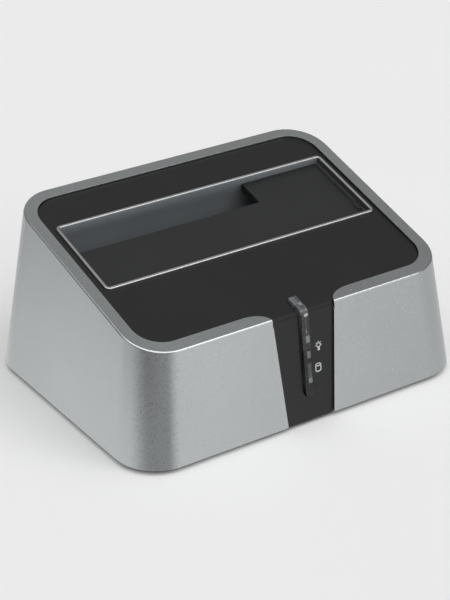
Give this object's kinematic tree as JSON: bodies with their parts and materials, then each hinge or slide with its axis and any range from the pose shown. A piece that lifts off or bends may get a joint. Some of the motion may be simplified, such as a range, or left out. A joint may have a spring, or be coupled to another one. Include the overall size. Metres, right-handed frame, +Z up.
{
  "type": "hard drive docking station",
  "caption": "Wedge-shaped desktop dock for a bare hard drive, with a sprung dust flap over the drive slot, a front light pipe, rear ports and a power button.",
  "frame": {"origin": "on the table plane under the feet, under the middle of the case", "axes": "+X to the right seen from the front, +Y to the back where the ports are, +Z up"},
  "size_m": [0.13, 0.098, 0.0617],
  "materials": {
    "silver_case": "ABS with a satin silver metallic paint",
    "black_panel": "fine satin black ABS",
    "bright_trim": "bright plated ring",
    "black_inner": "matte black ABS",
    "black_flap": "matte black ABS",
    "clear_acrylic": "polished clear acrylic",
    "foot_rubber": "soft black rubber",
    "screw_steel": "dull zinc plate",
    "bright_steel": "bright nickel plate",
    "green_board": "glass fibre board with green solder mask",
    "black_connector": "black nylon",
    "gold_contact": "gold flash",
    "chip_black": "moulded epoxy",
    "capacitor_can": "drawn aluminium can",
    "ferrite": "sintered ferrite",
    "ceramic_parts": "ceramic chip parts",
    "clear_lamp": "clear epoxy",
    "white_plastic": "white nylon"
  },
  "bodies": {
    "case": {"upper_case": "silver_case", "top_panel": "black_panel", "slot_trim": "bright_trim", "drive_well": "black_inner", "well_screws": "screw_steel", "flap_hinge_pin": "bright_steel", "flap_spring": "bright_steel", "light_pipe": "clear_acrylic", "bottom_cover": "black_inner", "rubber_feet": "foot_rubber", "case_screws": "screw_steel", "main_board": "green_board", "board_screws": "screw_steel", "sata_connector": "black_connector", "sata_contacts": "gold_contact", "bridge_chip": "chip_black", "chip_leads": "bright_steel", "crystal": "bright_steel", "filter_capacitors": "capacitor_can", "power_inductor": "ferrite", "voltage_regulator": "chip_black", "small_parts": "ceramic_parts", "led_board": "green_board", "led_header": "black_connector", "header_pins": "gold_contact", "status_leds": "clear_lamp", "rear_plate": "black_inner", "usb_shell": "bright_steel", "usb_insert": "white_plastic", "usb_contacts": "gold_contact", "dc_jack": "black_connector", "dc_jack_pin": "gold_contact", "switch_body": "black_connector", "button_spring": "bright_steel"},
    "flap": {"dust_flap": "black_flap"},
    "button": {"power_button": "black_flap", "switch_plunger": "white_plastic"}
  },
  "joints": [
    {"name": "flap_hinge", "type": "hinge", "parent": "case", "child": "flap", "pos_m": [0, -0.0091, 0.04337], "axis": [-1, 0, 0], "range_deg": [0, 105], "stiffness_Nm_per_rad": 0.01, "springref_deg": -57.3, "deforming": ["flap_spring"]},
    {"name": "button_press", "type": "slide", "parent": "case", "child": "button", "axis": [0, -1, 0], "range_m": [0, 0.0016], "stiffness_N_per_m": 300, "springref_m": -0.002, "deforming": ["button_spring"]}
  ]
}
